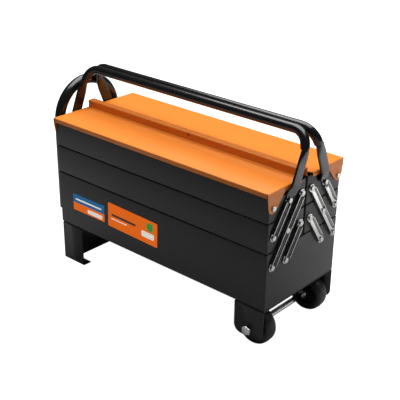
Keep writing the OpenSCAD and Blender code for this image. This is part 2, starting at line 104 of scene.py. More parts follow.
def makePeelGroup():
    # sprayed coats: fine orange-peel relief with a slow change of gloss and tone
    group = bpy.data.node_groups.new("sprayedCoat", "ShaderNodeTree")
    groupSocket(group, "Colour", "INPUT", "NodeSocketColor", (0.5, 0.5, 0.5, 1))
    groupSocket(group, "Tone", "INPUT", "NodeSocketFloat", 0.06)
    groupSocket(group, "Roughness", "INPUT", "NodeSocketFloat", 0.35)
    groupSocket(group, "Gloss change", "INPUT", "NodeSocketFloat", 0.06)
    groupSocket(group, "Peel size", "INPUT", "NodeSocketFloat", 420.0)
    groupSocket(group, "Peel height", "INPUT", "NodeSocketFloat", 0.1)
    groupSocket(group, "Colour", "OUTPUT", "NodeSocketColor")
    groupSocket(group, "Roughness", "OUTPUT", "NodeSocketFloat")
    groupSocket(group, "Normal", "OUTPUT", "NodeSocketVector")
    nodes, links = group.nodes, group.links
    given = nodes.new("NodeGroupInput")
    result = nodes.new("NodeGroupOutput")
    place = nodes.new("ShaderNodeTexCoord")
    slow = addNode(nodes, "ShaderNodeTexNoise", {"Scale": 9.0, "Detail": 4.0})
    links.new(place.outputs["Object"], slow.inputs["Vector"])
    fine = addNode(nodes, "ShaderNodeTexNoise", {"Detail": 2.0})
    links.new(place.outputs["Object"], fine.inputs["Vector"])
    links.new(given.outputs["Peel size"], fine.inputs["Scale"])
    # the slow noise runs from -1 to 1, and the colour is multiplied by 1 + Tone * noise
    centre = addNode(nodes, "ShaderNodeMath", {1: 2.0, 2: -1.0}, "MULTIPLY_ADD")
    links.new(slow.outputs["Fac"], centre.inputs[0])
    tone = addNode(nodes, "ShaderNodeMath", {2: 1.0}, "MULTIPLY_ADD")
    links.new(centre.outputs[0], tone.inputs[0])
    links.new(given.outputs["Tone"], tone.inputs[1])
    shade = addNode(nodes, "ShaderNodeVectorMath", {}, "SCALE")
    links.new(given.outputs["Colour"], shade.inputs[0])
    links.new(tone.outputs[0], shade.inputs["Scale"])
    links.new(shade.outputs[0], result.inputs["Colour"])
    gloss = addNode(nodes, "ShaderNodeMath", {}, "MULTIPLY_ADD")
    links.new(centre.outputs[0], gloss.inputs[0])
    links.new(given.outputs["Gloss change"], gloss.inputs[1])
    links.new(given.outputs["Roughness"], gloss.inputs[2])
    links.new(gloss.outputs[0], result.inputs["Roughness"])
    bump = addNode(nodes, "ShaderNodeBump", {"Distance": 0.3 * mm})
    links.new(given.outputs["Peel height"], bump.inputs["Strength"])
    links.new(fine.outputs["Fac"], bump.inputs["Height"])
    links.new(bump.outputs["Normal"], result.inputs["Normal"])
    return group


def makeWearAndHighlightGroup():
    # paint rubbed thin and a painted highlight: 1 on outer corners, broken up by a fine noise
    group = bpy.data.node_groups.new("edgeWearAndHighlight", "ShaderNodeTree")
    groupSocket(group, "Width", "INPUT", "NodeSocketFloat", 0.0008)
    groupSocket(group, "Amount", "INPUT", "NodeSocketFloat", 0.5)
    groupSocket(group, "Mask", "OUTPUT", "NodeSocketFloat")
    nodes, links = group.nodes, group.links
    given = nodes.new("NodeGroupInput")
    result = nodes.new("NodeGroupOutput")
    rounded = nodes.new("ShaderNodeBevel")
    rounded.samples = 4
    links.new(given.outputs["Width"], rounded.inputs["Radius"])
    surface = nodes.new("ShaderNodeNewGeometry")
    facing = addNode(nodes, "ShaderNodeVectorMath", {}, "DOT_PRODUCT")
    links.new(rounded.outputs["Normal"], facing.inputs[0])
    links.new(surface.outputs["Normal"], facing.inputs[1])
    ramp = addNode(nodes, "ShaderNodeMapRange", {"From Min": 0.98, "From Max": 0.80})
    links.new(facing.outputs["Value"], ramp.inputs["Value"])
    place = nodes.new("ShaderNodeTexCoord")
    chips = addNode(nodes, "ShaderNodeTexNoise", {"Scale": 90.0, "Detail": 5.0})
    links.new(place.outputs["Object"], chips.inputs["Vector"])
    broken = addNode(nodes, "ShaderNodeMapRange", {"From Min": 0.35, "From Max": 0.65})
    links.new(chips.outputs["Fac"], broken.inputs["Value"])
    product = addNode(nodes, "ShaderNodeMath", {}, "MULTIPLY")
    links.new(ramp.outputs["Result"], product.inputs[0])
    links.new(broken.outputs["Result"], product.inputs[1])
    amount = addNode(nodes, "ShaderNodeMath", {}, "MULTIPLY")
    links.new(product.outputs[0], amount.inputs[0])
    links.new(given.outputs["Amount"], amount.inputs[1])
    links.new(amount.outputs[0], result.inputs["Mask"])
    return group


peelGroup = makePeelGroup()
wearAndHighlightGroup = makeWearAndHighlightGroup()


def newMaterial(name):
    material = bpy.data.materials.new(name)
    material.use_nodes = True
    tree = material.node_tree
    return material, tree, tree.nodes["Principled BSDF"]


def placeGroup(tree, group, values):
    node = tree.nodes.new("ShaderNodeGroup")
    node.node_tree = group
    for name, value in values.items():
        node.inputs[name].default_value = value
    return node


def placeCoat(tree, shader, finish):
    coat = placeGroup(tree, peelGroup, {
        "Colour": (*finish["colour"], 1),
        "Tone": finish["tone"],
        "Roughness": finish["roughness"],
        "Gloss change": finish["glossChange"],
        "Peel size": finish["peelSize"],
        "Peel height": finish["peelHeight"],
    })
    tree.links.new(coat.outputs["Roughness"], shader.inputs["Roughness"])
    tree.links.new(coat.outputs["Normal"], shader.inputs["Normal"])
    shader.inputs["Specular IOR Level"].default_value = finish["specular"]
    return coat


def coatedMaterial(name, finish):
    material, tree, shader = newMaterial(name)
    coat = placeCoat(tree, shader, finish)
    # edges get a lighter colour: partly rubbed paint, partly a painted highlight along the rounded edges
    edge = placeGroup(tree, wearAndHighlightGroup, {"Width": finish["edgeWidth"], "Amount": finish["edgeAmount"]})
    mix = tree.nodes.new("ShaderNodeMix")
    mix.data_type = "RGBA"
    mix.inputs["B"].default_value = (*finish["wearAndHighlightColour"], 1)
    tree.links.new(edge.outputs["Mask"], mix.inputs["Factor"])
    tree.links.new(coat.outputs["Colour"], mix.inputs["A"])
    tree.links.new(mix.outputs["Result"], shader.inputs["Base Color"])
    shader.inputs["Metallic"].default_value = finish.get("metallic", 0.0)
    return material


# each finish's edge colour stands for rubbed paint and for a painted highlight on its edges
finishes = {
    "blackPaint": {
        "colour": (0.0045, 0.0047, 0.0055), "tone": 0.15, "roughness": 0.38, "glossChange": 0.05,
        "peelSize": 520.0, "peelHeight": 0.10, "specular": 0.46,
        "edgeWidth": 0.0012, "edgeAmount": 0.5, "wearAndHighlightColour": (0.035, 0.036, 0.04),
    },
    "glossBlack": {
        "colour": (0.005, 0.005, 0.0055), "tone": 0.10, "roughness": 0.19, "glossChange": 0.04,
        "peelSize": 260.0, "peelHeight": 0.06, "specular": 0.58,
        "edgeWidth": 0.0008, "edgeAmount": 0.2, "wearAndHighlightColour": (0.04, 0.04, 0.04),
    },
    "orangePaint": {
        "colour": (0.82, 0.225, 0.026), "tone": 0.07, "roughness": 0.34, "glossChange": 0.05,
        "peelSize": 520.0, "peelHeight": 0.10, "specular": 0.32,
        "edgeWidth": 0.0012, "edgeAmount": 0.55, "wearAndHighlightColour": (0.95, 0.42, 0.14),
    },
    "zinc": {
        "colour": (0.52, 0.52, 0.51), "tone": 0.10, "roughness": 0.16, "glossChange": 0.05,
        "peelSize": 700.0, "peelHeight": 0.08, "specular": 0.5, "metallic": 1.0,
        "edgeWidth": 0.0006, "edgeAmount": 0.8, "wearAndHighlightColour": (0.95, 0.95, 0.94),
    },
    "brightSteel": {
        "colour": (0.80, 0.80, 0.79), "tone": 0.06, "roughness": 0.13, "glossChange": 0.05,
        "peelSize": 900.0, "peelHeight": 0.04, "specular": 0.5, "metallic": 1.0,
        "edgeWidth": 0.0005, "edgeAmount": 0.6, "wearAndHighlightColour": (0.95, 0.95, 0.95),
    },
    "blackRubber": {
        "colour": (0.007, 0.008, 0.011), "tone": 0.20, "roughness": 0.40, "glossChange": 0.08,
        "peelSize": 900.0, "peelHeight": 0.14, "specular": 0.5,
        "edgeWidth": 0.0010, "edgeAmount": 0.3, "wearAndHighlightColour": (0.06, 0.065, 0.075),
    },
    "blackPlastic": {
        "colour": (0.006, 0.006, 0.0065), "tone": 0.15, "roughness": 0.45, "glossChange": 0.06,
        "peelSize": 1100.0, "peelHeight": 0.12, "specular": 0.45,
        "edgeWidth": 0.0008, "edgeAmount": 0.3, "wearAndHighlightColour": (0.05, 0.05, 0.05),
    },
}
materials = {name: coatedMaterial(name, finish) for name, finish in finishes.items()}
slotFinish = {
    "black_paint": "blackPaint",
    "gloss_black": "glossBlack",
    "orange_paint": "orangePaint",
    "zinc": "zinc",
    "bright_steel": "brightSteel",
    "black_rubber": "blackRubber",
    "black_plastic": "blackPlastic",
}
nodeSlot = {entry["node"]: entry["material_slot"] for entry in frame["record"]["subparts"]}
for nodeName, cadNode in cadNodes.items():
    for materialSlot in cadNode.material_slots:
        materialSlot.material = materials[slotFinish[nodeSlot[nodeName]]]
print("finishes made:", len(materials))


# helpers that shape and hand over a mesh

def bevelEdges(bm, edges, radius, segments):
    bmesh.ops.bevel(bm, geom=edges, offset=radius, offset_type="OFFSET", affect="EDGES",
                    segments=segments, profile=0.5, material=-1, clamp_overlap=True)


def roundCorners(bm, verts, radius, segments):
    bmesh.ops.bevel(bm, geom=verts, offset=radius, offset_type="OFFSET", affect="VERTICES",
                    segments=segments, profile=0.5, material=-1, clamp_overlap=True)


def addBlock(bm, low, high):
    low, high = Vector(low), Vector(high)
    made = bmesh.ops.create_cube(bm, size=1.0)["verts"]
    bmesh.ops.scale(bm, vec=high - low, verts=made)
    bmesh.ops.translate(bm, vec=(low + high) / 2, verts=made)
    return made


def once(items):
    # each item once, in a fixed order
    return list(dict.fromkeys(items))


def edgesOf(verts):
    return once(edge for vert in verts for edge in vert.link_edges)


def runsAlong(edge, axis):
    along = (edge.verts[1].co - edge.verts[0].co).normalized()
    return abs(along[axis]) > 0.99


def addRod(bm, radius, start, end, segments):
    # a round bar from start to end
    start, end = Vector(start), Vector(end)
    along = end - start
    made = bmesh.ops.create_cone(bm, cap_ends=True, cap_tris=False, segments=segments, radius1=radius,
                                 radius2=radius, depth=along.length)["verts"]
    turn = along.to_track_quat("Z", "Y").to_matrix().to_4x4()
    bmesh.ops.transform(bm, matrix=Matrix.Translation((start + end) / 2) @ turn, verts=made)
    return made


def ringEdgesNear(verts, point, axis):
    # edges between verts that lie in the plane through point across axis
    flat = [v for v in verts if abs((v.co - Vector(point)).dot(axis)) < 0.01 * mm]
    return [e for e in edgesOf(flat) if e.verts[0] in flat and e.verts[1] in flat]


def flipAcross(bm, axis, at, verts=None):
    # mirrors in place, with the faces still pointing outwards
    verts = list(bm.verts) if verts is None else verts
    scale = Vector((1, 1, 1))
    scale[axis] = -1
    shift = Vector((0, 0, 0))
    shift[axis] = 2 * at
    bmesh.ops.scale(bm, vec=scale, verts=verts)
    bmesh.ops.translate(bm, vec=shift, verts=verts)
    bmesh.ops.reverse_faces(bm, faces=once(face for vert in verts for face in vert.link_faces))


def finishPiece(bm, name, body, finish, nodes=(), smoothAngle=35, recalc=True):
    if recalc:
        bmesh.ops.recalc_face_normals(bm, faces=bm.faces)
    mesh = bpy.data.meshes.new(name)
    bm.to_mesh(mesh)
    bm.free()
    for face in mesh.polygons:
        face.use_smooth = True
    mesh.set_sharp_from_angle(angle=math.radians(smoothAngle))
    mesh.materials.append(materials[finish])
    piece = bpy.data.objects.new(name, mesh)
    bpy.context.scene.collection.objects.link(piece)
    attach(piece, body)
    if nodes:
        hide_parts(*nodes)
    return piece


def addThickness(piece, thickness):
    # the sheet's thickness goes inwards from the shape
    solidify = piece.modifiers.new("sheet", "SOLIDIFY")
    solidify.thickness = thickness
    solidify.offset = -1
    solidify.use_even_offset = True
    solidify.use_rim = True


def addSoftEdges(piece, width):
    soften = piece.modifiers.new("softEdges", "BEVEL")
    soften.width = width
    soften.segments = 2
    soften.limit_method = "ANGLE"
    soften.angle_limit = math.radians(40)


def openStrip(bm, points):
    # a chain of edges through a few points
    verts = [bm.verts.new(point) for point in points]
    for pair in zip(verts, verts[1:]):
        bm.edges.new(pair)
    return verts


def vertsIn(geom):
    return [item for item in geom if isinstance(item, bmesh.types.BMVert)]


def allOf(bm):
    return list(bm.verts) + list(bm.edges) + list(bm.faces)


def sweepAlongX(bm, startX, endX):
    # pulls a chain in the Y-Z plane into a sheet
    bmesh.ops.translate(bm, vec=(startX, 0, 0), verts=bm.verts)
    pulled = bmesh.ops.extrude_edge_only(bm, edges=list(bm.edges))["geom"]
    bmesh.ops.translate(bm, vec=(endX - startX, 0, 0), verts=vertsIn(pulled))


def repeatAtLeftEnd(bm):
    # everything made at the right-hand end is repeated at the left one
    copied = bmesh.ops.duplicate(bm, geom=allOf(bm))["geom"]
    flipAcross(bm, 0, midX, vertsIn(copied))


def faceUp(bm):
    # an open sheet faces outwards when its top face looks up
    bmesh.ops.recalc_face_normals(bm, faces=bm.faces)
    face = max(bm.faces, key=lambda f: f.calc_center_median().z)
    if face.normal.z < 0:
        bmesh.ops.reverse_faces(bm, faces=bm.faces)


# trays

trayShape = {
    "sheet": 1.5,
    "corner": 2.6,        # radius of the upright corners
    "floorBend": 2.47,    # radius round the floor
    "fold": 3.3,          # the rim is rolled inwards over this width
    "hem": 7.0,           # and hangs down this far inside
    "rollSteps": 6,
}


def makeTray(node, body):
    low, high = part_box(node)
    roll = trayShape["fold"] * mm / 2
    bm = bmesh.new()
    addBlock(bm, low, (high.x, high.y, high.z - roll))
    bevelEdges(bm, [e for e in bm.edges if runsAlong(e, 2)], trayShape["corner"] * mm, 4)
    floor = min(bm.faces, key=lambda f: f.calc_center_median().z)
    bevelEdges(bm, list(floor.edges), trayShape["floorBend"] * mm, 4)
    mouth = max(bm.faces, key=lambda f: f.calc_center_median().z)
    turned = 0.0
    step = math.pi / trayShape["rollSteps"]
    for _ in range(trayShape["rollSteps"]):
        inward = roll * (math.cos(turned) - math.cos(turned + step))
        upward = roll * (math.sin(turned + step) - math.sin(turned))
        bmesh.ops.inset_region(bm, faces=[mouth], thickness=inward, depth=upward, use_even_offset=True)
        turned += step
    bmesh.ops.inset_region(bm, faces=[mouth], thickness=0.01 * mm, depth=-trayShape["hem"] * mm,
                           use_even_offset=True)
    bmesh.ops.delete(bm, geom=[mouth], context="FACES_ONLY")
    piece = finishPiece(bm, node.replace("_tray", "_pan"), body, "blackPaint", [node], recalc=False)
    addThickness(piece, trayShape["sheet"] * mm)


makeTray("base_tray", "base")
for side in ("front", "rear"):
    makeTray(side + "_mid_tray", side + "_mid")
    makeTray(side + "_top_tray", side + "_top")
print("trays made")


# lids

lidShape = {
    "sheet": 1.1,
    "flange": 8.0,
    "hemHeight": 3.4,     # lower part of the flange, which flares back out
    "hemIn": 0.9,         # how far in the flange is where the hem starts
    "fold": 1.3,          # radius of the bends
    "notch": 2.2,         # slit left between the flange and the end plate
    "endBend": 0.99,      # outside radius between the sheet and its end plates
    "backEdge": 15.0,     # where the rear lid's ramp starts, from the centre plane
    "flapRadius": 9.3,    # round end of the flap, about the lid's rivet
    "flapSlope": 50.0,    # degrees
    "endRound": 4.0,      # where the flap's slanted edge starts
    "edge": 0.25,
    "lockHole": (8.0, 0.7, 2.3),     # from mid-length, share of the rib's height, radius
}


def lidOutline(side):
    # outside line of the sheet from the inner edge to the hem, in (y, z), drawn as at the front
    low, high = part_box(side + "_lid")
    if side == "front":
        outer, front, top = low.y, high.y, high.z
        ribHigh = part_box("front_lid_rib")[1]
        inner, ribTop = ribHigh.y, ribHigh.z
        line = [(inner, low.z), (inner, ribTop), (front, ribTop), (front, top)]
        bends = [1, 2, 3]
    else:
        outer, inner = -high.y, -low.y
        top = low.z + lidShape["sheet"] * mm
        line = [(inner, high.z), (-lidShape["backEdge"] * mm, top)]
        bends = [1]
    flangeEnd = top - lidShape["flange"] * mm
    hemTop = flangeEnd + lidShape["hemHeight"] * mm
    count = len(line)
    line += [(outer, top), (outer + lidShape["hemIn"] * mm, hemTop), (outer, flangeEnd)]
    bends += [count, count + 1]
    return line, bends, top, outer


def openRound(bm, centre, radius):
    # opens a round hole in the upright face: a square is cut out first, and its rim closed to a circle
    reach = radius * 1.12      # half the square
    bm.normal_update()
    for axis, middle in ((0, centre.x), (2, centre.z)):
        normal = Vector([float(i == axis) for i in range(3)])
        for place in (middle - reach, middle + reach):
            faces = [f for f in bm.faces if abs(f.normal.y) > 0.99
                     and abs(f.calc_center_median().y - centre.y) < 0.1 * mm]
            rims = once(e for f in faces for e in f.edges)
            points = once(v for f in faces for v in f.verts)
            bmesh.ops.bisect_plane(bm, geom=points + rims + faces, plane_co=normal * place,
                                   plane_no=normal)
    square = min(bm.faces, key=lambda f: (f.calc_center_median() - centre).length)
    border = list(square.edges)
    bmesh.ops.delete(bm, geom=[square], context="FACES_ONLY")
    ring = bmesh.ops.create_circle(bm, cap_ends=False, radius=radius, segments=20)["verts"]
    bmesh.ops.rotate(bm, cent=(0, 0, 0), matrix=Matrix.Rotation(math.radians(90), 3, "X"), verts=ring)
    bmesh.ops.translate(bm, vec=centre, verts=ring)
    bmesh.ops.bridge_loops(bm, edges=border + edgesOf(ring))


def makeLid(side):
    line, bends, top, outer = lidOutline(side)
    low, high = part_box(side + "_lid")
    startX, endX = low.x + lidShape["endBend"] * mm, high.x - lidShape["endBend"] * mm
    notch = lidShape["notch"] * mm
    bm = bmesh.new()
    verts = openStrip(bm, [(0, y, z) for y, z in line])
    roundCorners(bm, [verts[i] for i in bends], lidShape["fold"] * mm, 4)
    sweepAlongX(bm, startX, endX)
    for slitX in (startX + notch, endX - notch):
        bmesh.ops.bisect_plane(bm, geom=allOf(bm), plane_co=(slitX, 0, 0), plane_no=(1, 0, 0))
    flangeTop = top - lidShape["fold"] * mm * 0.9      # most of the bend stays above the slit
    flangeBack = outer + 2 * lidShape["hemIn"] * mm
    middles = {face: face.calc_center_median() for face in bm.faces}
    slits = [face for face, spot in middles.items() if spot.z < flangeTop and spot.y < flangeBack
             and abs(spot.x - midX) > endX - midX - notch]
    bmesh.ops.delete(bm, geom=slits, context="FACES")
    if side == "front":
        along, share, radius = lidShape["lockHole"]
        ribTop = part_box("front_lid_rib")[1].z
        openRound(bm, Vector((midX + along * mm, high.y, top + share * (ribTop - top))), radius * mm)
    faceUp(bm)
    standsFor = [side + "_lid", side + "_lid_flange"]
    if side == "front":
        standsFor.append("front_lid_rib")
    else:
        flipAcross(bm, 1, 0)
    piece = finishPiece(bm, side + "_lid_sheet", side + "_cover", "orangePaint", standsFor, recalc=False)
    addThickness(piece, lidShape["sheet"] * mm)


def makeLidEnds(side):
    # folded-down end plates with the blunt flaps that turn on the lid's rivets
    top, outer = lidOutline(side)[2:]
    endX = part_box(side + "_lid")[1].x
    sheet = lidShape["sheet"] * mm
    radius = lidShape["flapRadius"] * mm
    slope = math.radians(lidShape["flapSlope"])
    pivot = pivots[side + "_lid_open"]
    pivotY, pivotZ = -abs(pivot.y), pivot.z
    endLow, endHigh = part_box(side + "_lid_ends")
    inner = -min(abs(endLow.y), abs(endHigh.y))
    bottom = top - lidShape["flange"] * mm
    tipZ = pivotZ - radius
    # the slanted edge touches the flap's round end, and meets the tip's level at footY
    footRun = radius * math.tan(slope / 2)
    footY = pivotY + footRun
    slantTop = footY + (bottom - tipZ) / math.tan(slope)
    outline = [(outer, top), (inner, top), (inner, bottom), (slantTop, bottom), (footY, tipZ),
               (pivotY - radius, tipZ), (outer, bottom)]
    bm = bmesh.new()
    verts = [bm.verts.new((0, y, z)) for y, z in outline]
    bm.faces.new(verts)
    # each round is a little short of the next, so that they don't run into each other
    roundCorners(bm, [verts[5]], radius * 0.99, 8)
    roundCorners(bm, [v for v in bm.verts if abs(v.co.y - footY) < tiny], footRun * 0.98, 6)
    roundCorners(bm, [v for v in bm.verts if abs(v.co.y - slantTop) < tiny], lidShape["endRound"] * mm, 5)
    pulled = bmesh.ops.extrude_face_region(bm, geom=list(bm.faces))["geom"]
    bmesh.ops.translate(bm, vec=(sheet, 0, 0), verts=vertsIn(pulled))
    bmesh.ops.recalc_face_normals(bm, faces=bm.faces)
    folded = [e for e in bm.edges if runsAlong(e, 1) and e.verts[0].co.z > top - tiny
              and e.verts[0].co.x > sheet / 2]
    bevelEdges(bm, folded, lidShape["endBend"] * mm, 4)
    bmesh.ops.translate(bm, vec=(endX - sheet, 0, 0), verts=bm.verts)
    repeatAtLeftEnd(bm)
    if side == "rear":
        flipAcross(bm, 1, 0)
    piece = finishPiece(bm, side + "_lid_flaps", side + "_cover", "orangePaint", [side + "_lid_ends"])
    addSoftEdges(piece, lidShape["edge"] * mm)


for side in ("front", "rear"):
    makeLid(side)
    makeLidEnds(side)
print("lids made")


# links

linkShape = {
    "width": 13.2,        # outside, over the two flanges
    "sheet": 1.2,
    "flangeEnd": 4.5,     # the flanges stop this far short of the end pivots
    "bend": 1.0,
    "edge": 0.35,
    "corner": 1.6,        # rounded ends of the flanges
}
linkStep = pivots["front_mid_tray_turn"] - pivots["front_fold_open"]    # one tray up, at rest


def stepUp(side):
    return Vector((0, linkStep.y if side == "front" else -linkStep.y, linkStep.z))


def addLinkFlange(bm, inside, outside, bottom, top, depth):
    # one turned-up side: outer bend along the plate, rounded corners at its free ends
    made = addBlock(bm, (0, min(inside, outside), bottom), (depth, max(inside, outside), top))
    ends = [e for e in edgesOf(made) if runsAlong(e, 1) and e.verts[0].co.x > depth / 2]
    before = set(bm.verts)
    bevelEdges(bm, ends, linkShape["corner"] * mm, 4)
    made = [v for v in made if v.is_valid] + [v for v in bm.verts if v not in before]
    upright = [e for e in edgesOf(made) if runsAlong(e, 2)]
    bend = [e for e in upright if e.verts[0].co.x < tiny and abs(e.verts[0].co.y - outside) < tiny]
    rim = [e for e in upright if e.verts[0].co.x > depth - tiny]
    bevelEdges(bm, bend, linkShape["bend"] * mm, 4)
    bevelEdges(bm, rim, linkShape["edge"] * mm, 2)


def makeLink(node, body, start, end):
    low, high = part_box(node)
    right = low.x > midX      # the left links are the right ones flipped across
    webX = low.x if right else 2 * midX - high.x
    depth = high.x - low.x
    half = linkShape["width"] * mm / 2
    sheet = linkShape["sheet"] * mm
    length = (end - start).length
    bm = bmesh.new()
    addBlock(bm, (0, -half, -half), (sheet, half, length + half))
    bevelEdges(bm, [e for e in bm.edges if runsAlong(e, 0)], half * 0.998, 12)    # round ends
    face = max(bm.faces, key=lambda f: f.calc_center_median().x)
    bevelEdges(bm, list(face.edges), linkShape["edge"] * mm, 2)
    stop = linkShape["flangeEnd"] * mm
    for turn in (-1, 1):
        addLinkFlange(bm, turn * (half - sheet), turn * half, stop, length - stop, depth)
    along = end - start
    lean = -math.atan2(along.y, along.z)
    place = Matrix.Translation((webX, start.y, start.z)) @ Matrix.Rotation(lean, 4, "X")
    bmesh.ops.transform(bm, matrix=place, verts=bm.verts)
    if not right:
        flipAcross(bm, 0, midX)
    finishPiece(bm, node.replace("_link_", "_strap_"), body, "zinc", [node])


for side in ("front", "rear"):
    step = stepUp(side)
    fold = pivots[side + "_fold_open"]
    short = pivots[side + "_short_link_turn"]
    handle = pivots[side + "_handle_turn"]
    for end in ("left", "right"):
        makeLink(f"{side}_long_link_{end}", side + "_fold", fold, fold + 2 * step)
        makeLink(f"{side}_short_link_{end}", side + "_short_links", short, short + step)
        makeLink(f"{side}_handle_link_{end}", side + "_grip", handle - step, handle)
print("links made")


# rivets

rivetShape = {
    "shank": 3.0,         # radii of the shank, the heads and the collar
    "head": 4.6,
    "collar": 5.4,
    "headHeight": 2.9,
    "edge": 0.7,
    "wall": 1.5,          # sheet that the tail is set in
    "tail": 1.6,
    "tongue": 1.6,        # flattened handle end held by the same rivet
    "play": 0.1,
}


def addRivet(bm, pivot, collarEnd, headStart):
    # at the right-hand end; distances are from the box's middle
    y, z = pivot.y, pivot.z
    wallX = baseHigh.x - midX
    tailStart = wallX - rivetShape["wall"] * mm
    tailEnd = tailStart - rivetShape["tail"] * mm
    headEnd = headStart + rivetShape["headHeight"] * mm
    addRod(bm, rivetShape["shank"] * mm, (midX + tailStart, y, z), (midX + headStart, y, z), 20)
    addRod(bm, rivetShape["collar"] * mm, (midX + wallX, y, z), (midX + collarEnd, y, z), 28)
    for start, end in ((tailStart, tailEnd), (headStart, headEnd)):
        head = addRod(bm, rivetShape["head"] * mm, (midX + start, y, z), (midX + end, y, z), 28)
        bevelEdges(bm, ringEdgesNear(head, (midX + end, y, z), xAxis), rivetShape["edge"] * mm, 4)


def makeRivets(node, body, rivets):
    # each rivet is its pivot, its collar's end and its head's start
    bm = bmesh.new()
    for rivet in rivets:
        addRivet(bm, *rivet)
    repeatAtLeftEnd(bm)
    finishPiece(bm, node + "_set", body, "zinc", [node])


slack = rivetShape["play"] * mm
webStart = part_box("front_long_link_right")[0].x - midX
webEnd = webStart + linkShape["sheet"] * mm
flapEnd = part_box("front_lid")[1].x - midX
flapStart = flapEnd - lidShape["sheet"] * mm
tongueEnd = webEnd + rivetShape["tongue"] * mm
throughLink = (webStart - slack, webEnd + slack)
throughTongue = (webStart - slack, tongueEnd + slack)
throughFlap = (flapStart - slack, flapEnd + slack)
makeRivets("base_rivets", "base", [(pivots[side + joint], *throughLink) for side in ("front", "rear")
                                   for joint in ("_fold_open", "_short_link_turn")])
for side in ("front", "rear"):
    across = Vector((0, stepUp(side).y, 0))
    middle = pivots[side + "_mid_tray_turn"]
    makeRivets(side + "_mid_rivets", side + "_mid",
               [(spot, *throughLink) for spot in (middle - across, middle, middle + across)])
    makeRivets(side + "_top_rivets", side + "_top", [(pivots[side + "_top_tray_turn"], *throughLink),
                                                     (pivots[side + "_handle_turn"], *throughTongue)])
    makeRivets(side + "_lid_rivets", side + "_top", [(pivots[side + "_lid_open"], *throughFlap)])
print("rivets made")


# opening handles

handleShape = {
    "tube": 15.9,
    "corner": 28.5,       # bend radius at the bar's ends
    "barGap": 8.6,        # bar's centre from the box's centre plane
    "taper": 24.0,        # length over which the tube is pressed flat
    # sections down a leg: half widths out and in, thickness, middle off the link's web, squareness
    "pressed": (8.0, 8.0, 10.6, 5.0, 2.2),     # just below the bend, kept off the lids' ends
    "leg": (11.0, 11.0, 5.0, 5.0, 3.6),
    "toe": (12.6, 12.6, 3.0, 2.1, 5.0),
    "tongue": (5.1, 5.1, 1.6, 0.8, 5.0),
    "legLow": 24.0,       # heights above the rivet: the leg ends here
    "toeHigh": 13.0,      # the toe is fully wide from here
    "toeLow": 6.8,        # down to here
    "tongueHigh": 4.8,    # and the tongue starts here
    "toeCorner": 3.0,     # how far under its top the toe's inner corner starts
    "tongueDown": 14.0,   # how far the tongue reaches below the rivet
    "bendRoom": 0.3,      # room left at the lids' ends by the inside of the bend
    "bendSlope": 0.78,    # how fast the pressed inside runs back into the round tube
    "bendReach": 15.0,    # and how far up
    "around": 40,
    "bendSteps": 18,
}


def spotOf(vert):
    return tuple(round(c, 6) for c in vert.co)


def vertsOf(ring):
    return once(vert for edge in ring for vert in edge.verts)


def openRim(geom):
    return [item for item in geom if isinstance(item, bmesh.types.BMEdge) and len(item.link_faces) == 1]


def ringMoved(bm, ring, offset):
    pulled = bmesh.ops.extrude_edge_only(bm, edges=ring)["geom"]
    bmesh.ops.translate(bm, vec=offset, verts=vertsIn(pulled))
    return openRim(pulled)


def ringTurned(bm, ring, centre, axis, angle, steps):
    last = bmesh.ops.spin(bm, geom=vertsOf(ring) + ring, cent=centre, axis=axis, dvec=(0, 0, 0),
                          angle=angle, steps=steps, use_merge=False, use_duplicate=False)["geom_last"]
    return [item for item in last if isinstance(item, bmesh.types.BMEdge)]


def within(t):
    # t, kept between 0 and 1
    return min(max(t, 0.0), 1.0)


def eased(t):
    return within(t) ** 2 * (3 - 2 * within(t))


def blend(first, second, t):
    return [a + (b - a) * eased(t) for a, b in zip(first, second)]


def legSection(up, bendLow):
    # the section at the height up, and how far the leg has turned in line with its link
    shape = handleShape
    legLow, toeHigh, tongueHigh = shape["legLow"], shape["toeHigh"], shape["tongueHigh"]
    if up > bendLow - shape["taper"]:
        return blend(shape["pressed"], shape["leg"], (bendLow - up) / shape["taper"]), 0.0
    if up > toeHigh:
        return blend(shape["leg"], shape["toe"], (legLow - up) / (legLow - toeHigh)), 0.0
    toe, tongue = shape["toe"], shape["tongue"]
    section = blend(toe, tongue, (toeHigh - up) / (toeHigh - tongueHigh))
    # the toe narrows in a straight line on each side, lower down on the outer one
    corners = (shape["toeLow"], toeHigh - shape["toeCorner"])
    half = tongue[0]
    roundStart = half - shape["tongueDown"]
    if up < roundStart:      # round end of the tongue, down to 0.2 mm at its tip
        half = math.sqrt(max(half ** 2 - (roundStart - up) ** 2, 0.04))
    for i, corner in enumerate(corners):
        section[i] = toe[i] + (half - toe[i]) * within((corner - up) / (corner - tongueHigh))
    return section, eased((tongueHigh - up) / tongueHigh)


def signedPower(value, power):
    return math.copysign(abs(value) ** power, value)


def pressRing(bm, ring, angles, rivet, legUp, linkUp, up, bendLow):
    # pulls a ring down the leg to the height up and presses it to the section there
    (outer, inner, thick, middle, square), turn = legSection(up, bendLow)
    pulled = bmesh.ops.extrude_edge_only(bm, edges=ring)["geom"]
    upward = legUp.lerp(linkUp, turn).normalized()
    across = Vector((0, upward.z, -upward.y))
    centre = Vector((midX + webEnd + middle * mm, rivet.y, rivet.z)) + upward * up * mm
    moved = {}
    for vert in vertsIn(pulled):
        angle = angles[spotOf(vert)]
        u = signedPower(math.cos(angle), 2 / square)
        v = signedPower(math.sin(angle), 2 / square)
        wide = inner if u > 0 else outer
        vert.co = centre + across * (u * wide * mm) + xAxis * (v * thick / 2 * mm)
        moved[spotOf(vert)] = angle
    return openRim(pulled), moved


